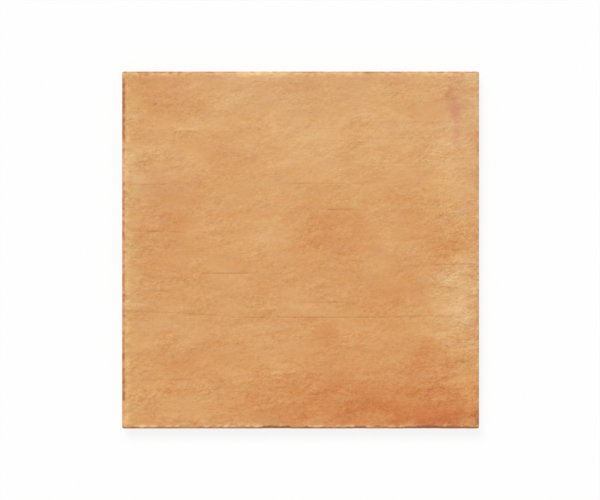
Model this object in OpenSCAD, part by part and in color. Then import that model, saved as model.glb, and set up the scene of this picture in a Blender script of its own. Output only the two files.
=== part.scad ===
// Square wall tile: one pressed and fired slab of red clay.
// It lies face up. Its back stands on the XY plane, and the Z axis runs through its middle.

/* [Tile] */
// Length of the sides that run along X
tile_x = 200; // [100:1:330]
// Length of the sides that run along Y
tile_y = 200; // [100:1:330]
// Thickness, from the back to the face
tile_t = 8; // [6:0.1:12]
// Radius of the four upright corners, seen from the face
corner_r = 1; // [0.9:0.1:2]

/* [Face] */
// How far in from the side the face starts to roll over
arris_w = 1.8; // [1.2:0.1:3]
// How far the face has dropped where it meets the side
arris_drop = 1; // [0.5:0.1:1.1]

/* [Side] */
// Height of the upright band under the arris
band_h = 2.5; // [1:0.1:3]
// How far the side leans in from the band down to the back
side_draft = 0.5; // [0.2:0.05:0.6]
// Chamfer between the side and the back
back_chamfer = 0.3; // [0.1:0.05:0.3]

/* [Back] */
// Width of the flat rim round the back
rim_w = 8; // [5:0.5:12]
// Distance from rib to rib, before it is evened out over the back
rib_pitch = 22.5; // [15:0.5:30]
// Width of a rib at its crest
rib_w = 3; // [2:0.1:5]
// Depth of the cells between the ribs
cell_d = 0.9; // [0.4:0.1:1.2]
// How far the wall of a cell slopes in over its depth
cell_slope = 0.6; // [0.2:0.1:1]
// Radius of the corners of a cell, at the crest of the ribs
cell_r = 2.5; // [1.2:0.1:4]

/* [Hidden] */
$fn = 64;
clay = [0.85, 0.63, 0.42];
overlap = 1;

// The arris is an arc that leaves the face without a crease, so its radius
// follows from how far it runs in and how far it drops.
arris_r = (pow(arris_w, 2) + pow(arris_drop, 2)) / (2 * arris_drop);
band_top = tile_t - arris_drop;
band_foot = band_top - band_h;

// The cells fill what the rim leaves of the back.
back_inset = side_draft + back_chamfer;
field_x = tile_x - 2 * (back_inset + rim_w);
field_y = tile_y - 2 * (back_inset + rim_w);
cells_x = round((field_x + rib_w) / rib_pitch);
cells_y = round((field_y + rib_w) / rib_pitch);
pitch_x = (field_x + rib_w) / cells_x;
pitch_y = (field_y + rib_w) / cells_y;

// A rectangular pad whose upright corners are rounded, and whose sides all lean
// in by `lean` over its height. `r` is the corner radius at its foot.
module leaning_pad(size_x, size_y, r, lean, height) {
    across_x = size_x / 2 - r;
    across_y = size_y / 2 - r;
    section_x = [[-size_x / 2, 0], [size_x / 2, 0],
                 [size_x / 2 - lean, height], [lean - size_x / 2, height]];
    section_y = [[-size_y / 2, 0], [size_y / 2, 0],
                 [size_y / 2 - lean, height], [lean - size_y / 2, height]];
    rotate([90, 0, 0])
        linear_extrude(2 * across_y, center = true) polygon(section_x);
    rotate([90, 0, 90])
        linear_extrude(2 * across_x, center = true) polygon(section_y);
    for (x = [-across_x, across_x], y = [-across_y, across_y])
        translate([x, y, 0]) cylinder(height, r, r - lean);
}

// The slab with its upright band, leaning sides and chamfered back, and a sharp face.
module sharp_slab() {
    translate([0, 0, band_foot])
        leaning_pad(tile_x, tile_y, corner_r, 0, tile_t - band_foot);
    // The lower part narrows downwards, so it is a pad turned over.
    translate([0, 0, band_foot]) mirror([0, 0, 1])
        leaning_pad(tile_x, tile_y, corner_r, side_draft, band_foot - back_chamfer);
    translate([0, 0, back_chamfer]) mirror([0, 0, 1])
        leaning_pad(tile_x - 2 * side_draft, tile_y - 2 * side_draft,
                    corner_r - side_draft, back_chamfer, back_chamfer);
}

// Outline of a loaf: a flat top as high as the face, which rolls over at both ends.
module loaf_section(span) {
    roll_x = span / 2 - arris_w;
    translate([-roll_x, -arris_r]) square([2 * roll_x, tile_t + arris_r]);
    translate([-roll_x - arris_r, -arris_r]) square([2 * (roll_x + arris_r), tile_t]);
    for (x = [-roll_x, roll_x])
        translate([x, tile_t - arris_r]) circle(arris_r);
}

// The slab with all four edges of its face rolled over, meeting in mitres at the corners.
module pressed_slab() {
    intersection() {
        sharp_slab();
        rotate([90, 0, 0])
            linear_extrude(tile_y + 2 * overlap, center = true) loaf_section(tile_x);
        rotate([90, 0, 90])
            linear_extrude(tile_x + 2 * overlap, center = true) loaf_section(tile_y);
    }
}

// The grid of shallow cells that leaves keying ribs on the back.
module key_cells() {
    for (i = [0 : cells_x - 1], j = [0 : cells_y - 1])
        translate([(i - (cells_x - 1) / 2) * pitch_x, (j - (cells_y - 1) / 2) * pitch_y, 0])
            leaning_pad(pitch_x - rib_w, pitch_y - rib_w, cell_r, cell_slope, cell_d);
}

module tile() {
    color(clay) difference() {
        pressed_slab();
        key_cells();
    }
}

tile();
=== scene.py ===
"""Square wall tile of red clay with a matt, mottled terracotta face. It lies face up on its
ribbed back.

Lengths in the tables are millimetres, with X to the right across the face, Y up the face
and Z from the back to the face. The origin is the middle of the back.
"""
import math
import random

import bmesh
import bpy
from mathutils import Matrix, Vector, noise


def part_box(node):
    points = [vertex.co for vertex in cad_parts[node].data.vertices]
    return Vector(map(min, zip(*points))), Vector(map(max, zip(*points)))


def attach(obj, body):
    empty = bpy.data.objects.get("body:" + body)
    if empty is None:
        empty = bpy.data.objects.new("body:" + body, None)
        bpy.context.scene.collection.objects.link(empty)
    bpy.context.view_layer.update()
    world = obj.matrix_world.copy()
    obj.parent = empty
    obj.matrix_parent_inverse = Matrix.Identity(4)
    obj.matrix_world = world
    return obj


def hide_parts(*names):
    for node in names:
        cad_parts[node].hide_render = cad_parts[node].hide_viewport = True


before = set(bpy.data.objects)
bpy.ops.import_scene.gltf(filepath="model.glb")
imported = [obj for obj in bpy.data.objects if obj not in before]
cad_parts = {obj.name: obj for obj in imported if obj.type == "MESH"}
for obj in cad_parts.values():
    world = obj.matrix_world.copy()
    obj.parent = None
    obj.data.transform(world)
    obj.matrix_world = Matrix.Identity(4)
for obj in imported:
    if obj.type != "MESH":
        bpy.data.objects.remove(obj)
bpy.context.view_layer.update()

MM = 0.001
tile_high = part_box("tile")[1]
HALF_X = tile_high.x / MM
HALF_Y = tile_high.y / MM
THICK = tile_high.z / MM

# The slab's section, as it was pressed.
CORNER_R = 1.0
ARRIS_W = 1.8
ARRIS_DROP = 1.0
BAND_H = 2.5
SIDE_DRAFT = 0.5
BACK_CHAMFER = 0.3
BAND_TOP = THICK - ARRIS_DROP
BAND_FOOT = BAND_TOP - BAND_H
BACK_INSET = SIDE_DRAFT + BACK_CHAMFER

# The ribbed back.
RIM_W = 8.0
RIB_PITCH = 22.5
RIB_W = 3.0
CELL_R = 2.5
CELL_ARC_STEPS = 5
# The wall of a cell, from the crest of the rib to the floor, as (inwards, up) steps:
# a soft shoulder, the sloping wall and a soft foot. In all it goes 0.6 in and 0.9 up.
CELL_WALL = [(0.10, 0.04), (0.08, 0.10), (0.28, 0.62), (0.07, 0.10), (0.07, 0.04)]

# Mesh spacing on the face. It is finer up the face, across the drag lines.
STEP_X = 1.0
STEP_Y = 0.5
ARRIS_STEPS = 4
CREASE = math.radians(35)  # an edge that turns further than this stays sharp
DOWNWARD = -0.3  # faces that look down more than this are the back, its cells and its chamfer

# The hand wiped to the right and a little up the face, and the finest lines lie flatter.
WIPE_TURN = math.radians(9)
LINE_TURN = math.radians(1)

# The wipe left some places smoother than the rest and some rougher: the length, width and
# noise layer of these places, how much they differ, and the least and most roughness.
WIPED_PLACES = (18, 12, 90)
WIPED = 0.85
SMOOTHEST = 0.2
ROUGHEST = 1.5
# Waves that pressing and wiping left in the face, as (length, width, height) of a wave.
WAVES = [(60, 40, 0.09), (20, 11, 0.13), (8, 5.5, 0.11), (3.0, 2.7, 0.10)]
FINE_WAVE = 10  # a wave shorter than this is low where the wipe smoothed the face
FACE_SINK = 0.22  # keeps the crests of the waves within the tile's thickness

# Drag lines cut by grit under the wiping tool: where each starts and ends, how far it
# bows on the way, how deep it is and half its width. One with a depth below 0 is a ridge.
SCRATCHES = [
    ((12, 22.6), (43, 22.4), 0.0, 0.06, 0.35),
    ((-97, 10.8), (-64, 10.0), 0.0, 0.055, 0.35),
    ((-58, -13.1), (-24, -13.1), 0.0, 0.08, 0.35),
    ((-44, -37.6), (80, -37.2), -0.3, 0.06, 0.38),
    ((-97, -34.5), (-38, -37.4), 0.6, 0.05, 0.35),
    ((-10, 37.4), (37, 37.2), 0.0, 0.035, 0.35),
    ((-97, 36.6), (-73, 36.6), 0.0, 0.04, 0.35),
    ((71, -8.2), (97, -8.0), 0.0, 0.05, 0.35),
    ((-5, -29.4), (29, -29.2), 0.0, 0.035, 0.35),
    ((78, -62.6), (97, -62.6), 0.0, 0.035, 0.35),
    ((-97, -72.9), (-57, -72.4), 0.0, 0.035, 0.5),
    ((29, 62.5), (78, 62.5), 0.0, 0.025, 0.35),
    ((36, 48.8), (68, 48.8), 0.0, 0.03, 0.35),
    ((-97, -23.0), (-72, -22.8), 0.0, 0.033, 0.4),
    ((-71, 66.6), (-55, 66.6), 0.8, -0.13, 0.8),
    ((-21, -70.4), (-1, -67.4), 0.0, -0.12, 0.9),
    ((-15, -76.0), (-8, -75.6), 0.0, -0.07, 0.6),
]
DEEPEST = max(depth for *_, depth, _ in SCRATCHES)
SCRATCH_REACH = 3  # a scratch fades out this many half widths from its middle
SCRATCH_END = 1 / 6  # share of a scratch's length over which each end fades
SCRATCH_FULL = 0.9  # how full a scratch is on average
SCRATCH_LUMP = 6  # and it comes and goes over about this length
BURR_OFF = 0.8  # the burr that each scratch pushed up lies this far below it
BURR = 0.5  # how high the burr is, as a share of the scratch's depth

# The sides, by their outward direction.
LEFT, RIGHT, TOP, FOOT = (-1, 0), (1, 0), (0, 1), (0, -1)
# Nicks knocked out of the arris: the side, how many, and the radius of the smallest and
# the largest. They lie at random places.
NICKS = [
    (LEFT, 44, 0.4, 0.9),
    (RIGHT, 16, 0.3, 0.8),
    (TOP, 12, 0.3, 0.8),
    (FOOT, 22, 0.4, 1.2),
]
# Stretches of the arris that are broken away: the side, where each starts and ends along it,
# and how far in it reaches.
BROKEN = [
    (FOOT, -20, -7.5, 2.3),
    (FOOT, 31, 36, 1.9),
    (FOOT, 60, 66, 1.4),
    (FOOT, 69, 77, 2.3),
]
NICK_SEED = 4
NICK_SPAN = 0.97  # nicks keep within this share of the side, clear of the corners
CHIP_STEP = 1.3  # a broken stretch is a row of chips this far apart
SMALLEST_CHIP = 0.5  # as a share of how far in the stretch reaches
CHIP_SINK = 0.45  # how far a chip sinks the arris
CHIP_PULL = 0.05  # how far it pulls it in from the side
CHIP_BARES = 2  # how bare of slip the deepest chip is; 1 is fully bare
# How strongly the slip is rubbed off the arris of each side, how far in from the side this is
# worst, half its width, how uneven it is along the side, and the seed of that.
RUBBED = {
    LEFT: (0.72, 0.9, 1.2, 0.6, 36.6),
    RIGHT: (0.05, 0.3, 0.8, 0.7, 209.5),
    TOP: (0.68, 0.3, 0.5, 0.7, 126.8),
    FOOT: (1.2, 0.2, 0.6, 1.2, 1.8),
}
RUB_SPARES = 0.3  # rubbing weaker than this leaves the slip on
RUB_BARES = 1.5  # how bare of slip each 1 past that leaves the arris
RUB_LONG = 22  # length of its uneven stretches
RUB_SPOT = 2.4  # size of its ragged spots
RUB_SPOTS = 0.6  # how strong these are
RUB_REACH = 2.1  # no rubbing reaches further in than this
# Stretches of a side where the slip is rubbed off further (above 0) or less far (below 0):
# the side, where each starts and ends along it, and by how much.
WORN = [
    (LEFT, 78, 97, 0.35),
    (LEFT, 14, 28, -0.35),
    (LEFT, -22, -8, 0.15),
    (LEFT, -42, -22, 0.12),
    (LEFT, -66.5, -61, -0.7),
    (LEFT, -98.5, -84, -0.6),
    (RIGHT, 63, 68, 0.3),
    (RIGHT, -99, -89, 0.5),
    (TOP, -99, -90, -0.3),
    (TOP, -67, -54, -0.4),
    (TOP, -9, -4, -0.3),
    (TOP, 22, 31, -0.35),
    (TOP, 35, 45, 0.35),
    (TOP, 62, 67, -0.25),
    (TOP, 71, 80, 0.25),
    (FOOT, -99, -94, -0.3),
    (FOOT, -68, -54, -0.35),
    (FOOT, 40, 50, -0.35),
    (FOOT, 52, 85, 0.2),
    (FOOT, 85, 99, 0.25),
]
WORN_FADE = 2  # each end of a stretch fades over this length
# How thick a bead the slip left along the shoulder of each side, how far in from the side it
# lies, half its width, and the seed of its uneven stretches. The bead is partly pale thick slip
# and partly a painted highlight where the shoulder catches the light.
BEADS_AND_HIGHLIGHTS = {
    LEFT: (0.75, 2.6, 1.4, 11),
    RIGHT: (0.75, 0.5, 0.9, 172),
    TOP: (0.8, 1.7, 1.3, 185),
    FOOT: (1.2, 1.2, 1.0, 25),
}
BEAD_MEAN = 0.75  # how thick it is on average, as a share of that
BEAD_LONG = 11  # length of its uneven stretches
BEAD_UNEVEN = 1.4  # how strong these are
BEAD_DROP = 2.5  # size of its drops
BEAD_DROPS = 2.4  # how strong these are
WEAR_REACH = 9  # neither wear nor beads reach further in from a side than this

# How red the fired slip is, from 0 at its palest to 1: in the middle of the face, and how much
# this changes over 100 mm up the face.
HEAT_BASE = 0.487
HEAT_FALL = -0.05
# Kiln flashing and uneven slip: where each patch lies, half its size each way, how far
# it is turned in degrees, and how much redder (above 0) or paler (below 0) it is.
PATCHES = [
    # The flash along the foot of the face.
    (87, -95, 22, 5, 0, 0.25),
    (70, -92, 34, 9, 0, 0.08),
    (36, -88, 42, 9, 3, 0.16),
    (26, -78, 34, 6, 0, 0.09),
    (82, -88, 18, 9, 0, 0.04),
    (40, -88, 14, 6, 0, 0.07),
    (70, -77, 20, 6, -4, 0.07),
    (-12, -86, 22, 9, 6, 0.07),
    (-14, -74, 12, 3, 10, 0.05),
    (-52, -77, 11, 6, 0, 0.03),
    (30, -67, 34, 7, 0, 0.06),
    (67, -60, 8, 5.5, 30, 0.09),
    (80, -59, 9, 7, 0, 0.11),
    (16, -55, 9, 7, 0, 0.05),
    (58, -54, 22, 6, 0, 0.055),
    # Orange clouds over the middle.
    (16, 10, 17, 13, 0, 0.13),
    (12, -8, 18, 8, 0, 0.05),
    (46, -24, 18, 13, 0, 0.09),
    (58, -12, 14, 8, 0, 0.025),
    (77, 6, 12, 9, 0, 0.10),
    (62, 20, 11, 8, 0, 0.05),
    (9, 30, 12, 4, 0, 0.03),
    (-21, -7, 9, 7, 0, 0.04),
    # Redder places near the top.
    (44, 92, 14, 7, 0, 0.035),
    (67, 79, 3, 6, 0, 0.04),
    (82.5, 88.3, 3.2, 2.3, 0, 0.27),
    # Flecks along the right.
    (99, 66, 0.9, 2.5, 0, 0.15),
    (99, 52, 1.5, 9, 0, 0.10),
    (97, 39, 2, 4, 0, 0.12),
    (99, 3, 1.2, 3, 0, 0.22),
    (96, -28, 3, 3, 0, 0.12),
    (99, -38, 1, 2, 0, 0.18),
    (98, -34, 2.5, 10, 0, 0.07),
    (98, -1, 2.5, 6, 0, 0.05),
    (99, -88, 1.2, 6, 0, 0.10),
    # Redder clouds down the left.
    (-84, 92, 13, 8, 0, 0.12),
    (-68, 79, 17, 7, 0, 0.09),
    (-52, 77, 10, 6, 0, 0.03),
    (-45, 50, 10, 10, 0, 0.08),
    (-52, 40, 12, 5, 0, 0.05),
    (-73, 42, 8, 4, 0, 0.05),
    (-94, 97, 6, 3, 0, 0.08),
    (-70, 33, 24, 6, 0, 0.07),
    (-85, -38, 12, 8, 0, 0.03),
    (-75, 10, 13, 16, 0, 0.07),
    (-80, -16, 10, 10, 0, 0.015),
    (-66, -65, 8, 8, 0, 0.06),
    # Pale slip.
    (98.5, 82, 2, 10, 0, -0.12),
    (96.5, 79, 2.5, 4, 0, -0.09),
    (98, 98, 3, 4, 0, -0.12),
    (93, 78, 3, 5, 0, -0.04),
    (99, -99, 5, 3, 0, -0.12),
    (86, -36, 11, 18, -8, -0.14),
    (93, 20, 6, 8, 0, -0.04),
    (88, -6, 5, 5, 0, -0.14),
    (94, -18, 7, 9, 0, -0.09),
    (92, -60, 7, 9, 0, -0.05),
    (74, -24, 5, 5, 0, -0.05),
    (92, -36, 3.5, 16, 0, -0.045),
    (64, -55, 6, 5, 0, -0.04),
    (85, 50, 9, 15, 0, -0.09),
    (52, 45, 12, 12, 0, -0.08),
    (28, -36, 13, 7, 0, -0.06),
    (60, 66, 18, 6, 3, -0.04),
    (83, 90, 15, 8, 0, -0.03),
    (83, 68, 7, 7, 0, -0.05),
    (10, 66, 26, 7, 3, -0.07),
    (-2, 53, 16, 7, 0, -0.07),
    (-28, 63, 14, 8, 0, -0.06),
    (-32, 91, 18, 8, 0, -0.05),
    (-24, 98, 17, 2.5, 0, -0.12),
    (-38, 79, 14, 7, 0, -0.03),
    (18, 79, 22, 6, 0, -0.05),
    (-76, 56, 16, 5, 0, -0.035),
    (-64, 69, 12, 2.5, 4, -0.08),
    (-16, 8, 11, 8, 0, -0.09),
    (-38, 13, 7, 5, 0, -0.03),
    (-8, 36, 9, 6, 0, -0.03),
    (-1, -28, 13, 4, 8, -0.05),
    (-72, -46, 20, 8, 0, -0.05),
    (-36, -42, 10, 9, 0, -0.03),
    (-25, -77, 11, 6, 0, -0.055),
    (-92, -80, 12, 18, 0, -0.065),
    (-95, 46, 4, 6, 0, -0.10),
    (-92, 77, 6, 7, 0, -0.04),
    (-96, -10, 3, 90, 0, -0.05),
    (-70, -92, 16, 6, 0, -0.06),
]
# How thick the veil of kiln ash is, from 0: over the whole face, and as PATCHES where it is
# thicker (above 0) or thinner (below 0).
VEIL_BASE = 0.035
VEILS = [
    (0, 98, 90, 10, 0, 0.05),
    (0, 99, 95, 2, 0, 0.03),
    (0, -98, 95, 2.5, 0, 0.045),
    (-68, 84, 14, 7, 0, 0.05),
    (0, 81, 26, 6, 0, 0.035),
    (68, 68, 10, 9, 0, 0.04),
    (-74, 26, 11, 5, 0, 0.05),
    (88, -32, 6, 8, 0, 0.04),
    (-52, -58, 20, 5, 15, 0.03),
    (92, 82, 12, 20, 0, 0.09),
    (83, 87, 2.8, 1.8, 0, 0.08),
    (98.5, 81.5, 1.8, 9, 0, 0.08),
    (97, 79, 2, 4, 0, 0.08),
    (93, -6, 4, 3, 0, 0.10),
    (96, 30, 5, 30, 0, 0.04),
    (96, -30, 5, 18, 0, 0.04),
    (-92, 0, 14, 70, 0, 0.03),
    (-78, 40, 14, 8, 0, 0.05),
    (-22, 88, 20, 8, 0, 0.03),
    (-37, -33, 16, 9, 0, 0.03),
    (-43, 56, 8, 6, 0, 0.03),
    (-30, -66, 26, 12, 0, -0.04),
    (42, -50, 30, 14, 0, -0.03),
    (-46, 0, 14, 7, 0, -0.03),
    (-84, -75, 9, 16, 0, -0.04),
    (50, -88, 50, 9, 0, -0.03),
    (-50, -90, 20, 6, 0, -0.02),
]
# How yellow-green the slip is, where it lies thick and fired cooler: as VEILS, but the edges of
# these patches don't wander.
LIME_BASE = 0.005
LIMES = [
    (-95, 0, 2.8, 95, 0, 0.06),
    (-20, 98, 14, 3, 0, 0.03),
    (70, 97, 6, 3, 0, 0.03),
]
# How coarse the grit in the slip feels: as VEILS.
COARSE_BASE = 0.8
COARSE = [
    (94, -5, 20, 60, 0, 0.65),
    (0, -96, 100, 24, 0, 0.27),
    (-97, -10, 14, 90, 0, 0.3),
]
WANDER = (40, 20, 0)  # how far the edges of the other patches wander each way
CLOUDS = 0.26  # how much redder or paler the widest clouds are
WISPS = 0.28  # how much thicker or thinner the wisps of ash make the veil
LIME_LUMPS = 0.24  # how uneven the yellow-green is
STREAKS = 0.24  # how strong the streaks along the wipe are
GRAIN = 0.23  # how strong the grain is
ROUGH_HEAT = 0.8  # how much redder streaks and grain make the slip
ROUGH_SHADE = 0.6  # how much darker they make it
SAND = 0.40  # how much the grains of sand lighten or darken the slip
GRIT = 0.43  # height of the grit from its hollows to its crests
# The fine drag lines: the noise at which a scored line starts and is at its deepest, and the
# same for the ridges between the lines.
SCORED = (0.58, 0.74)
RIDGED = (0.42, 0.26)
RIDGE = 0.7  # how high a ridge is, as a share of the depth of a scored line
DRAG_HEAT = 0.04  # how much redder a scored line is
DRAG_DEPTH = 0.012
PIT_GAP = 7.5  # how far apart the pinholes lie
PIT_R = 1.0
PIT_FLOOR = 0.3  # how much of this radius is the flat of the pit
PIT_DEPTH = 0.2
SCRATCH_PAINTED_SHADE = 0.2  # painted shade: how much darker the deepest scratch is than the slip
SCRATCH_BROWN_SHADE = 0.4  # and how far more painted shade turns it brown
PIT_DARKENING = 0.27  # how far the deepest pinhole is darkened towards that brown
BEAD_AND_HIGHLIGHT_PALE = 0.3  # how much paler the thickest bead is: thick slip, and partly painted highlight
# Mauve smears, where the ash has fused: as PATCHES, but how strong.
SMEARS = [
    (86.2, 80.0, 3.6, 3.6, 0, 0.78),
    (84.5, 77.5, 2.4, 3.0, 0, 0.35),
    (86.5, 75.5, 2.0, 3.6, 0, 0.65),
    (83, 85, 3.8, 3.0, 0, 0.25),
    (86.5, 66, 2.2, 4.5, 0, 0.65),
    (88, 50, 3, 8, 0, 0.2),
]
SMEAR_WANDER = 0.25  # their edges wander this share of WANDER

# Colours of the fired slip, from the palest to the reddest.
SLIP_COLOURS = [
    (0.20, "#EBC38D"),
    (0.33, "#E2B27A"),
    (0.43, "#DCA66D"),
    (0.50, "#D99E65"),
    (0.56, "#D7985E"),
    (0.65, "#D48E55"),
    (0.83, "#CB7A45"),
    (1.00, "#BE6430"),
]
PALE_SAND = "#FFC68E"
# The pale of the bead: thick slip, and partly a painted highlight on the shoulder.
SLIP_BEAD_AND_HIGHLIGHT = "#FFD39B"
ASH = "#AA8F8E"
LIME = "#B5C850"
MAUVE = "#D09270"
BARE_CLAY = "#B06E42"
# The brown of the painted shade in the scratches, which also darkens the pinholes.
HOLLOW_BROWN = "#A2562C"
SLIP_RUN = "#D49A66"
KILN_DUST = "#D9C6B2"

# The bare clay of the sides and the back, from its darkest to its palest.
BISCUIT_COLOURS = [(0.3, "#9E5735"), (0.5, "#B5704A"), (0.7, "#C98C64")]
CLAY_TONE = 0.5  # where its average lies between them
CLAY_CLOUDS = 0.6  # how strong its clouds, its specks of grog and its faint scores are
SPECKS = 0.4
SCORES = 0.2
CLAY_GRIT = 0.08  # how high the specks and scores stand
RUN_LENGTH = 9.0  # how much the runs of slip down the side could differ in length
RUNS = (0.42, 0.5)  # the noise at which a run starts and is at its thickest
RUN_COVER = 0.75  # how well a run covers the clay
DUST = (0.42, 0.7)  # the noise at which the kiln dust starts and is at its thickest
DUST_COVER = 0.45  # how well it covers the clay
DUST_TOP = 0.3  # how high above the rim and ribs it reaches
DUST_FULL = 0.05  # and up to where it is thickest


# ---- The slab ----

def wave(x, y, length, width, seed):
    """Noise from -1 to 1, with lumps of about that length and width lying along the wipe."""
    along = x * math.cos(WIPE_TURN) + y * math.sin(WIPE_TURN)
    across = y * math.cos(WIPE_TURN) - x * math.sin(WIPE_TURN)
    return noise.noise(Vector((along / length, across / width, seed)))


def lumps(x, y, size, seed):
    """Noise from -1 to 1, with lumps of about that size."""
    return noise.noise(Vector((x / size, y / size, seed)))


def roughness(x, y):
    """How rough the wipe left the face at a point: 1 on average, and less where it is smooth."""
    return max(SMOOTHEST, min(ROUGHEST, 1 + WIPED * wave(x, y, *WIPED_PLACES)))


def scratch_share(x, y, start, end, bow, half_width):
    """How much of a scratch's full depth it has at a point, from 0 to 1."""
    along = (x - start[0]) / (end[0] - start[0])
    if not 0 < along < 1:
        return 0.0
    middle = start[1] + along * (end[1] - start[1]) + 4 * bow * along * (1 - along)
    off = (y - middle) / half_width
    if abs(off) > SCRATCH_REACH:
        return 0.0
    ends = min(1.0, along / SCRATCH_END, (1 - along) / SCRATCH_END)
    skip = SCRATCH_FULL * (1 + noise.noise(Vector((x / SCRATCH_LUMP, middle, 0))))
    return math.exp(-off * off) * ends * max(0.0, min(1.0, skip))


def face_relief(x, y, rough):
    """Height of the face above or below the flat, and how deep in a scratch the point is, as a
    share of the deepest. On a ridge this is below 0."""
    height = -FACE_SINK
    for layer, (length, width, size) in enumerate(WAVES):
        share = rough if length < FINE_WAVE else 1
        height += share * size * wave(x, y, length, width, seed=10 * layer)
    groove = 0.0
    for start, end, bow, depth, half_width in SCRATCHES:
        share = scratch_share(x, y, start, end, bow, half_width)
        share -= BURR * scratch_share(x, y + BURR_OFF, start, end, bow, half_width)
        height -= depth * share
        groove += share * depth / DEEPEST
    return height, groove


def corner_pulled(x, y, half_x, half_y, radius):
    """Moves a point on the outline of a rectangle in to the arc that rounds its corner."""
    over_x = abs(x) - (half_x - radius)
    over_y = abs(y) - (half_y - radius)
    if over_x <= 0 or over_y <= 0:
        return x, y
    pull = radius / math.hypot(over_x, over_y)
    return (math.copysign(half_x - radius + over_x * pull, x),
            math.copysign(half_y - radius + over_y * pull, y))


def side_rings():
    """Each ring round the slab from the arris down, as (inset, height, corner radius)."""
    arc_r = (ARRIS_W ** 2 + ARRIS_DROP ** 2) / (2 * ARRIS_DROP)
    arc_turn = math.asin(ARRIS_W / arc_r)
    rings = []
    for step in range(1, ARRIS_STEPS + 1):
        turn = arc_turn * step / ARRIS_STEPS
        rings.append((ARRIS_W - arc_r * math.sin(turn),
                      THICK - arc_r * (1 - math.cos(turn)),
                      CORNER_R * step / ARRIS_STEPS))
    rings.append((0, BAND_FOOT, CORNER_R))
    rings.append((SIDE_DRAFT, BACK_CHAMFER, CORNER_R - SIDE_DRAFT))
    rings.append((BACK_INSET, 0, CORNER_R - BACK_INSET))
    return rings


def add_face(bm):
    """The flat of the face as a fine grid. Returns its open edges."""
    half_x = HALF_X - ARRIS_W
    half_y = HALF_Y - ARRIS_W
    bmesh.ops.create_grid(
        bm, x_segments=round(2 * half_x / STEP_X), y_segments=round(2 * half_y / STEP_Y), size=1,
        matrix=Matrix.Translation((0, 0, THICK)) @ Matrix.Diagonal((half_x, half_y, 1, 1)))
    return [e for e in bm.edges if e.is_boundary]


def add_sides(bm, ring):
    """Draws the open edges of the face out and down to the back."""
    half_x, half_y = HALF_X - ARRIS_W, HALF_Y - ARRIS_W
    made = []
    for inset, height, radius in side_rings():
        grown = bmesh.ops.extrude_edge_only(bm, edges=ring)["geom"]
        ring = [g for g in grown if isinstance(g, bmesh.types.BMEdge) and g.is_boundary]
        corners = {v for e in ring for v in e.verts}
        next_x, next_y = HALF_X - inset, HALF_Y - inset
        for v in corners:
            v.co = (v.co.x * next_x / half_x, v.co.y * next_y / half_y, height)
        half_x, half_y = next_x, next_y
        made.append((corners, half_x, half_y, radius))
    for corners, half_x, half_y, radius in made:
        for v in corners:
            v.co.x, v.co.y = corner_pulled(v.co.x, v.co.y, half_x, half_y, radius)


def add_cells(bm):
    """The shallow cells of the back. Their mouths and the foot of the sides stay open edges."""
    made = []
    fields = [2 * (half - BACK_INSET - RIM_W) + RIB_W for half in (HALF_X, HALF_Y)]
    counts = [round(field / RIB_PITCH) for field in fields]
    pitches = [field / count for field, count in zip(fields, counts)]
    for i in range(counts[0]):
        for j in range(counts[1]):
            middle = Vector(((i - (counts[0] - 1) / 2) * pitches[0],
                             (j - (counts[1] - 1) / 2) * pitches[1], 0))
            size = Matrix.Diagonal(((pitches[0] - RIB_W) / 2, (pitches[1] - RIB_W) / 2, 1, 1))
            corners = bmesh.ops.create_grid(
                bm, x_segments=1, y_segments=1, size=1,
                matrix=Matrix.Translation(middle) @ size)["verts"]
            made += bmesh.ops.bevel(bm, geom=corners, offset=CELL_R, segments=CELL_ARC_STEPS,
                                    profile=0.5, affect="VERTICES", material=-1)["verts"]
    # Each face once, and in the same order each time.
    cells = list(dict.fromkeys(f for v in made for f in v.link_faces))
    # The faces look into the slab, so a positive depth sinks the cell.
    for inwards, up in CELL_WALL:
        bmesh.ops.inset_individual(bm, faces=cells, thickness=inwards, depth=up,
                                   use_even_offset=True)


def on_side(side, along):
    """The point of the outline that lies so far along a side."""
    return (side[0] * HALF_X, along) if side[0] else (along, side[1] * HALF_Y)


def nick_places():
    """Where each nick is on the outline, and its radius."""
    pick = random.Random(NICK_SEED)
    places = []
    for side, count, smallest, largest in NICKS:
        span = NICK_SPAN * (HALF_Y if side[0] else HALF_X)
        for _ in range(count):
            places.append((*on_side(side, pick.uniform(-span, span)),
                           pick.uniform(smallest, largest)))
    for side, start, end, reach in BROKEN:
        for step in range(round((end - start) / CHIP_STEP) + 1):
            places.append((*on_side(side, start + step * CHIP_STEP),
                           reach * pick.uniform(SMALLEST_CHIP, 1)))
    return places


def nearest_side(x, y):
    """The outward direction of the side that a point is nearest to, and how far off it is."""
    if HALF_X - abs(x) < HALF_Y - abs(y):
        return (int(math.copysign(1, x)), 0), HALF_X - abs(x)
    return (0, int(math.copysign(1, y))), HALF_Y - abs(y)


def chip_share(v, nicks):
    """How deep in a nick a vertex is, from 0 to 1. A nick is twice as high as it is wide, and
    one with a radius under 1 mm is shallower."""
    chip = 0.0
    for nick_x, nick_y, radius in nicks:
        near = math.hypot(v.co.x - nick_x, v.co.y - nick_y, 0.5 * (v.co.z - BAND_TOP)) / radius
        if near < 1:
            chip = max(chip, (1 - near * near) * min(1.0, radius))
    return chip


def worn_more(side, x, y):
    """How much further a place is rubbed than the rest of its side."""
    along = y if side[0] else x
    return sum(more * min(1.0, (along - start) / WORN_FADE, (end - along) / WORN_FADE)
               for worn_side, start, end, more in WORN
               if worn_side == side and start < along < end)


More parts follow.
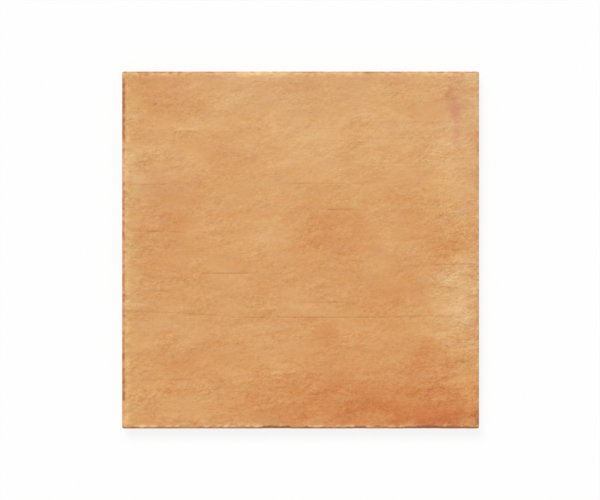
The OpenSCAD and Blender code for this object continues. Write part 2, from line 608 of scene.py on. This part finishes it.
def bare_share(side, inset, x, y, chip):
    """How bare of slip a place near the arris is, from 0 to 1."""
    worst, worst_at, worst_w, uneven, seed = RUBBED[side]
    off = (inset - worst_at) / worst_w
    rub = (worst * math.exp(-off * off) - RUB_SPARES + uneven * lumps(x, y, RUB_LONG, seed)
           + RUB_SPOTS * lumps(x, y, RUB_SPOT, seed=8) + worn_more(side, x, y))
    # Rubbing fades out over the last quarter of its reach.
    on_arris = max(0.0, min(1.0, 4 * (1 - inset / RUB_REACH)))
    return max(0.0, min(1.0, max(CHIP_BARES * chip, RUB_BARES * rub * on_arris)))


def bead_and_highlight_share(side, inset, x, y):
    """How thick the bead of slip, partly a painted highlight, is at a place near the arris: 0
    where there is none.
    """
    thick, bead_at, bead_w, seed = BEADS_AND_HIGHLIGHTS[side]
    off = (inset - bead_at) / bead_w
    lumpy = (BEAD_MEAN + BEAD_UNEVEN * lumps(x, y, BEAD_LONG, seed)
             + BEAD_DROPS * lumps(x, y, BEAD_DROP, seed=17))
    return thick * math.exp(-off * off) * max(0.0, lumpy)


def wear_edge(v, nicks, bare_layer, bead_and_highlight_layer):
    """Nicks a vertex near the arris, and records how bare of slip it is, and how thick its bead
    of slip and painted highlight is.
    """
    x, y = v.co.xy
    side, inset = nearest_side(x, y)
    if inset > WEAR_REACH:
        return
    chip = chip_share(v, nicks)
    v.co.z -= CHIP_SINK * chip
    v.co.x -= CHIP_PULL * chip * side[0]
    v.co.y -= CHIP_PULL * chip * side[1]
    v[bare_layer] = bare_share(side, inset, x, y, chip)
    v[bead_and_highlight_layer] = bead_and_highlight_share(side, inset, x, y) * (1 - v[bare_layer])


def shape_face(bm):
    """Gives the face its relief and the arris its wear, and records both for the materials."""
    rough_layer, groove_layer, bare_layer, bead_and_highlight_layer = (
        bm.verts.layers.float.new(name) for name in ("rough", "groove", "bare", "bead_and_highlight"))
    nicks = nick_places()
    for v in bm.verts:
        x, y, z = v.co
        if z < BAND_FOOT:
            continue
        v[rough_layer] = roughness(x, y)
        height, groove = face_relief(x, y, v[rough_layer])
        # The relief fades out down the arris.
        v.co.z += height * max(0.0, (z - BAND_TOP) / ARRIS_DROP)
        v[groove_layer] = groove
        wear_edge(v, nicks, bare_layer, bead_and_highlight_layer)


def lay_out_map(bm):
    """A map for baking: the face large in one corner, the back small and the sides as strips."""
    layer = bm.loops.layers.uv.new("OFBake")
    face_share, back_share, gap = 0.71, 0.26, 0.01
    strips_from, strip_pitch = 0.75, 0.05
    strip = face_share / (2 * HALF_Y)
    for f in bm.faces:
        out = f.normal
        middle = f.calc_center_median()
        for loop in f.loops:
            x, y, z = loop.vert.co
            across, up = (x + HALF_X) / (2 * HALF_X), (y + HALF_Y) / (2 * HALF_Y)
            if middle.z > BAND_TOP:
                place = (gap + across * face_share, gap + up * face_share)
            elif out.z < DOWNWARD:
                place = (1 - gap - back_share * across, gap + back_share * up)
            elif abs(out.x) > abs(out.y):
                column = 0 if out.x > 0 else 1
                place = (strips_from + strip_pitch * column + z * strip,
                         1 - gap - up * face_share)
            else:
                row = 0 if out.y > 0 else 1
                place = (gap + across * face_share,
                         strips_from + strip_pitch * row + z * strip)
            loop[layer].uv = place


def pressed_slab():
    """The whole slab with its wear. Its face and arris take the first material, and its sides
    and back the second."""
    bm = bmesh.new()
    add_sides(bm, add_face(bm))
    add_cells(bm)
    # The rim and the ribs fill what is left open of the back.
    bmesh.ops.triangle_fill(bm, use_beauty=True, edges=[e for e in bm.edges if e.is_boundary])
    bmesh.ops.recalc_face_normals(bm, faces=bm.faces)
    shape_face(bm)
    bm.normal_update()
    for f in bm.faces:
        f.smooth = True
        f.material_index = 0 if f.calc_center_median().z > BAND_TOP else 1
    for e in bm.edges:
        e.smooth = e.calc_face_angle() < CREASE
    lay_out_map(bm)
    bm.transform(Matrix.Diagonal((MM, MM, MM, 1)))
    return bm


def set_down(name, bm, *materials):
    """Makes an object of a finished bmesh, gives it its materials and puts it in the scene."""
    mesh = bpy.data.meshes.new(name)
    bm.to_mesh(mesh)
    bm.free()
    for material in materials:
        mesh.materials.append(material)
    piece = bpy.data.objects.new(name, mesh)
    bpy.context.scene.collection.objects.link(piece)
    return piece


# ---- Finishes ----

def linear(code):
    """A colour written as sRGB hex, as the linear values that a shader takes."""
    parts = [int(code[i:i + 2], 16) / 255 for i in (1, 3, 5)]
    return [p / 12.92 if p <= 0.04045 else ((p + 0.055) / 1.055) ** 2.4 for p in parts] + [1.0]


def empty_tree(owner):
    """Gives a material or the world an empty node tree."""
    owner.use_nodes = True
    owner.node_tree.nodes.clear()
    return owner.node_tree


def add(tree, kind, links=None, gives=None, **settings):
    """Adds a node. `links` gives each input a socket or a value. Returns the output that is
    named, or else the first in use. A Mix node takes two vectors at its inputs 4 and 5, and two
    colours at 6 and 7."""
    node = tree.nodes.new("ShaderNode" + kind)
    for name, value in settings.items():
        setattr(node, name, value)
    for name, value in (links or {}).items():
        if isinstance(value, bpy.types.NodeSocket):
            tree.links.new(value, node.inputs[name])
        else:
            node.inputs[name].default_value = value
    if gives:
        return node.outputs[gives]
    return next((socket for socket in node.outputs if socket.enabled), None)


def millimetres(tree):
    """The place on the piece, in millimetres."""
    place = add(tree, "TexCoord", gives="Object")
    return add(tree, "VectorMath", {0: place, "Scale": 1 / MM}, operation="SCALE")


def mottling(tree, place, sizes, seed, detail, fine, turn=0.0, gives="Fac"):
    """Noise from 0 to 1, and 0.5 on average, with lumps of the given sizes. Detail adds lumps of
    half the size, and half of that, each `fine` times as strong. Each seed is another layer."""
    layer = add(tree, "Mapping", {"Vector": place, "Location": (0, 0, -seed * sizes[2]),
                                  "Rotation": (0, 0, turn), "Scale": sizes},
                vector_type="TEXTURE")
    return add(tree, "TexNoise", {"Vector": layer, "Scale": 1.0, "Detail": detail,
                                  "Roughness": fine}, gives=gives)


def total(tree, start, *parts):
    """A start value and the sum of (socket, weight) pairs."""
    result = start
    for socket, weight in parts:
        result = add(tree, "Math", {0: socket, 1: weight, 2: result}, operation="MULTIPLY_ADD")
    return result


def patch_sum(tree, place, patches, start):
    """Adds soft patches to a start. Each is at full strength in its middle, at half of that at
    its half size, and gone at twice its half size."""
    result = start
    for x, y, half_x, half_y, turn, strength in patches:
        spot = place
        if turn:
            spot = add(tree, "VectorRotate",
                       {"Vector": place, "Center": (x, y, 0), "Angle": -math.radians(turn)},
                       rotation_type="Z_AXIS")
        spot = add(tree, "VectorMath",
                   {0: spot, 1: (1 / half_x, 1 / half_y, 0), 2: (-x / half_x, -y / half_y, 0)},
                   operation="MULTIPLY_ADD")
        far = add(tree, "VectorMath", {0: spot}, operation="LENGTH", gives="Value")
        soft = add(tree, "MapRange",
                   {"Value": far, "From Max": 2.0, "To Min": strength, "To Max": 0.0},
                   interpolation_type="SMOOTHSTEP")
        result = add(tree, "Math", {0: soft, 1: result}, operation="ADD")
    return result


def fired_colour(tree, heat, colours):
    """The colour that the clay or the slip fired to, from sRGB colours at places from 0 to 1."""
    colour = add(tree, "ValToRGB", {"Fac": heat})
    ramp = colour.node.color_ramp
    while len(ramp.elements) < len(colours):
        ramp.elements.new(1.0)
    for stop, (place, code) in zip(ramp.elements, colours):
        stop.position = place
        stop.color = linear(code)
    return colour


def laid_over(tree, colour, *layers):
    """A colour with layers over it, each a share that covers and an sRGB colour."""
    for share, code in layers:
        colour = add(tree, "Mix", {0: share, 6: colour, 7: linear(code)}, data_type="RGBA")
    return colour


def pinholes(tree, place):
    """Small round pits scattered over the face, some deeper than others: 1 in the deepest."""
    layer = add(tree, "Mapping", {"Vector": place, "Scale": (PIT_GAP, PIT_GAP, 1)},
                vector_type="TEXTURE")
    far = add(tree, "TexVoronoi", {"Vector": layer, "Scale": 1.0}, gives="Distance")
    rim = PIT_R / PIT_GAP
    hole = add(tree, "MapRange", {"Value": far, "From Min": PIT_FLOOR * rim, "From Max": rim,
                                  "To Min": 1.0, "To Max": 0.0},
               interpolation_type="SMOOTHSTEP")
    return add(tree, "Math", {0: hole, 1: far.node.outputs["Color"]}, operation="MULTIPLY")


def drag_lines(tree, place):
    """Fine lines along the wipe: 1 in a scored line, and below 0 on the ridges between them."""
    lines = mottling(tree, place, (13, 0.8, 1), seed=41, detail=1.0, fine=0.5, turn=LINE_TURN)
    scored, ridged = (
        add(tree, "MapRange", {"Value": lines, "From Min": starts, "From Max": full},
            interpolation_type="SMOOTHSTEP")
        for starts, full in (SCORED, RIDGED))
    return total(tree, 0.0, (scored, 1.0), (ridged, -RIDGE))


def slip_heat(tree, place, wander, rough, drag):
    """How red the slip is at a place: patches, clouds, streaks, grain and drag lines."""
    up = add(tree, "SeparateXYZ", {0: place}, gives="Y")
    heat = patch_sum(tree, wander, PATCHES, HEAT_BASE - 0.5 * CLOUDS)
    clouds = mottling(tree, place, (36, 26, 1), seed=7, detail=2.0, fine=0.6)
    return total(tree, heat, (up, HEAT_FALL / 100), (clouds, CLOUDS), (rough, ROUGH_HEAT),
                 (drag, DRAG_HEAT))


def slip_material():
    """Terracotta slip, wiped on by hand and fired matt: cloudy ochre with red flashes, a thin
    veil of ash, sandy grain and drag marks, and red clay where it is rubbed off."""
    material = bpy.data.materials.new("matt_terracotta_slip")
    tree = empty_tree(material)
    # The pattern is flat, and goes straight down over the arris.
    place = add(tree, "VectorMath", {0: millimetres(tree), 1: (1, 1, 0)}, operation="MULTIPLY")
    drift = mottling(tree, place, (22, 11, 1), seed=3, detail=4.0, fine=0.65, turn=WIPE_TURN,
                     gives="Color")
    drift = add(tree, "VectorMath", {0: drift, 1: (0.5, 0.5, 0.5)}, operation="SUBTRACT")
    wander = add(tree, "VectorMath", {0: drift, 1: WANDER, 2: place}, operation="MULTIPLY_ADD")
    rough_left, groove, bare, bead_and_highlight = (
        add(tree, "Attribute", attribute_name=name, gives="Fac")
        for name in ("rough", "groove", "bare", "bead_and_highlight"))
    drag = drag_lines(tree, place)
    pits = pinholes(tree, place)
    coarse = add(tree, "Math", {0: patch_sum(tree, wander, COARSE, COARSE_BASE), 1: rough_left},
                 operation="MULTIPLY")

    # The slip itself. Its streaks and its grains of sand are darker where they are redder.
    streaks = mottling(tree, place, (15, 6, 1), seed=11, detail=1.0, fine=0.8, turn=WIPE_TURN)
    grain = mottling(tree, place, (2.7, 2.5, 1), seed=17, detail=2.0, fine=0.9, turn=WIPE_TURN)
    rough = total(tree, -0.5 * (STREAKS + GRAIN), (streaks, STREAKS), (grain, GRAIN))
    rough = add(tree, "Math", {0: rough, 1: coarse}, operation="MULTIPLY")
    heat = slip_heat(tree, place, wander, rough, drag)
    sand = total(tree, -0.5, (grain, 1.0))
    sand = add(tree, "Math", {0: sand, 1: coarse}, operation="MULTIPLY")
    # Below 0 this takes the colour away from pale sand and darkens it; in scratches it is
    # painted shade.
    pale = total(tree, 0.0, (rough, -ROUGH_SHADE), (sand, -SAND), (groove, -SCRATCH_PAINTED_SHADE))
    colour = add(tree, "Mix", {0: pale, 6: fired_colour(tree, heat, SLIP_COLOURS),
                               7: linear(PALE_SAND)}, data_type="RGBA", clamp_factor=False)

    # What lies over it, from the first layer to the last.
    wisps = mottling(tree, place, (13, 7, 1), seed=47, detail=3.0, fine=0.7, turn=WIPE_TURN)
    veil = patch_sum(tree, wander, VEILS, VEIL_BASE - 0.5 * WISPS)
    uneven = mottling(tree, place, (9, 6, 1), seed=53, detail=2.0, fine=0.8, turn=WIPE_TURN)
    lime = patch_sum(tree, place, LIMES, LIME_BASE - 0.5 * LIME_LUMPS)
    smear_place = add(tree, "Mix", {0: SMEAR_WANDER, 4: place, 5: wander}, data_type="VECTOR")
    colour = laid_over(
        tree, colour,
        (total(tree, veil, (wisps, WISPS)), ASH),
        (total(tree, lime, (uneven, LIME_LUMPS)), LIME),
        (patch_sum(tree, smear_place, SMEARS, 0.0), MAUVE),
        # The bead along the shoulder: thick slip, and partly a painted highlight.
        (total(tree, 0.0, (bead_and_highlight, BEAD_AND_HIGHLIGHT_PALE)), SLIP_BEAD_AND_HIGHLIGHT),
        # Painted shade in the scratches, and darker pinholes.
        (total(tree, 0.0, (groove, SCRATCH_BROWN_SHADE), (pits, PIT_DARKENING)), HOLLOW_BROWN),
        (bare, BARE_CLAY))

    grit = mottling(tree, place, (1.9, 1.7, 1), seed=23, detail=2.0, fine=0.6)
    relief = total(tree, 0.0, (grit, GRIT), (drag, -DRAG_DEPTH), (pits, -PIT_DEPTH))
    relief = add(tree, "Math", {0: relief, 1: coarse}, operation="MULTIPLY")
    bump = add(tree, "Bump", {"Height": relief, "Distance": MM, "Strength": 1.0})
    surface = add(tree, "BsdfPrincipled", {"Base Color": colour, "Normal": bump,
                                           "Roughness": 0.8, "Specular IOR Level": 0.25})
    add(tree, "OutputMaterial", {"Surface": surface})
    return material


def biscuit_material():
    """Red clay biscuit, left bare on the sides and back: dry and even, with specks of grog.
    Slip has run over the top of the sides, and the kiln has left dust on the rim and ribs."""
    material = bpy.data.materials.new("red_clay_biscuit")
    tree = empty_tree(material)
    place = millimetres(tree)
    up = add(tree, "SeparateXYZ", {0: place}, gives="Z")
    clouds = mottling(tree, place, (24, 24, 6), seed=31, detail=4.0, fine=0.6)
    specks = mottling(tree, place, (0.8, 0.8, 0.8), seed=37, detail=2.0, fine=0.6)
    scores = mottling(tree, place, (12, 12, 0.5), seed=43, detail=2.0, fine=0.6)
    tone = total(tree, CLAY_TONE - 0.5 * (CLAY_CLOUDS + SPECKS + SCORES),
                 (clouds, CLAY_CLOUDS), (specks, SPECKS), (scores, SCORES))

    runs = mottling(tree, place, (4, 4, 60), seed=59, detail=3.0, fine=0.6)
    run = total(tree, -BAND_TOP, (up, 1.0), (runs, RUN_LENGTH))
    run = add(tree, "MapRange", {"Value": run, "From Min": RUNS[0] * RUN_LENGTH,
                                 "From Max": RUNS[1] * RUN_LENGTH, "To Max": RUN_COVER},
              interpolation_type="SMOOTHSTEP")
    rubs = mottling(tree, place, (30, 9, 1), seed=61, detail=4.0, fine=0.6)
    dusty = add(tree, "MapRange", {"Value": rubs, "From Min": DUST[0], "From Max": DUST[1],
                                   "To Max": DUST_COVER}, interpolation_type="SMOOTHSTEP")
    low_down = add(tree, "MapRange", {"Value": up, "From Min": DUST_TOP, "From Max": DUST_FULL},
                   interpolation_type="SMOOTHSTEP")
    dust = add(tree, "Math", {0: dusty, 1: low_down}, operation="MULTIPLY")
    colour = laid_over(tree, fired_colour(tree, tone, BISCUIT_COLOURS),
                       (run, SLIP_RUN), (dust, KILN_DUST))

    relief = total(tree, 0.0, (specks, CLAY_GRIT), (scores, CLAY_GRIT))
    bump = add(tree, "Bump", {"Height": relief, "Distance": MM, "Strength": 1.0})
    surface = add(tree, "BsdfPrincipled", {"Base Color": colour, "Normal": bump,
                                           "Roughness": 0.9, "Specular IOR Level": 0.2})
    add(tree, "OutputMaterial", {"Surface": surface})
    return material


# ---- The studio ----

FLOOR_HALF = 3.0  # in metres
FLOOR_DROP = 0.1 * MM  # keeps the floor clear of the tile's back
FLOOR_WHITE = 0.95
FLOOR_GLOW = 0.85  # how far the floor shows plain white, and so how faint the shadow is
LENS = 100.0
SENSOR = 36.0
VIEW_W = 336.2 * MM  # how much of the arris's outline plane the picture spans
CAMERA_X = -0.3 * MM
FILL = 0.45  # share of the light that comes from all round, and not from the key
KEY_FROM = (-0.3, 0.74, 0.85)  # which way the key lies
KEY_SOFTNESS = math.radians(30)


def white_to_the_eye(tree):
    """1 where the camera or a reflection looks, and 0 for light on other things."""
    seen = add(tree, "LightPath", gives="Is Camera Ray")
    rays = seen.node.outputs
    for also in ("Is Glossy Ray", "Is Transmission Ray"):
        seen = add(tree, "Math", {0: seen, 1: rays[also]}, operation="MAXIMUM")
    return seen


def make_world():
    """White to look at, and an even fill as light."""
    world = bpy.data.worlds.new("studio")
    bpy.context.scene.world = world
    tree = empty_tree(world)
    strength = add(tree, "MapRange", {"Value": white_to_the_eye(tree), "To Min": FILL})
    light = add(tree, "Background", {"Color": (1, 1, 1, 1), "Strength": strength})
    add(tree, "OutputWorld", {"Surface": light})


def floor_material():
    """White that is mostly its own light, so that only a faint shadow shows on it."""
    material = bpy.data.materials.new("white_floor")
    tree = empty_tree(material)
    share = add(tree, "Math", {0: white_to_the_eye(tree), 1: FLOOR_GLOW}, operation="MULTIPLY")
    matt = add(tree, "BsdfDiffuse", {"Color": (FLOOR_WHITE, FLOOR_WHITE, FLOOR_WHITE, 1)})
    glow = add(tree, "Emission", {"Color": (1, 1, 1, 1), "Strength": 1.0})
    surface = add(tree, "MixShader", {0: share, 1: matt, 2: glow})
    add(tree, "OutputMaterial", {"Surface": surface})
    return material


def make_floor():
    """The ground that the tile lies on."""
    bm = bmesh.new()
    bmesh.ops.create_grid(bm, x_segments=1, y_segments=1, size=FLOOR_HALF,
                          matrix=Matrix.Translation((0, 0, -FLOOR_DROP)))
    floor = set_down("floor", bm, floor_material())


def make_key():
    """One large soft light from the upper left of the face."""
    away = Vector(KEY_FROM).normalized()
    lamp = bpy.data.lights.new("key", "SUN")
    lamp.angle = KEY_SOFTNESS
    lamp.energy = math.pi * (1 - FILL) / away.z
    key = bpy.data.objects.new("key", lamp)
    key.rotation_mode = "QUATERNION"
    key.rotation_quaternion = away.to_track_quat("Z", "Y")
    bpy.context.scene.collection.objects.link(key)


def make_camera():
    """Looks straight down on the face, with the top of the face up."""
    data = bpy.data.cameras.new("camera")
    data.type = "PERSP"
    data.lens = LENS
    data.sensor_width = SENSOR
    camera = bpy.data.objects.new("camera", data)
    camera.location = (CAMERA_X, 0, BAND_TOP * MM + VIEW_W * LENS / SENSOR)
    bpy.context.scene.collection.objects.link(camera)
    bpy.context.scene.camera = camera


make_camera()
make_world()
make_floor()
make_key()
bpy.context.scene.view_settings.view_transform = "Standard"

slab = set_down("tile_slab", pressed_slab(), slip_material(), biscuit_material())
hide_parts("tile")
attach(slab, "root")
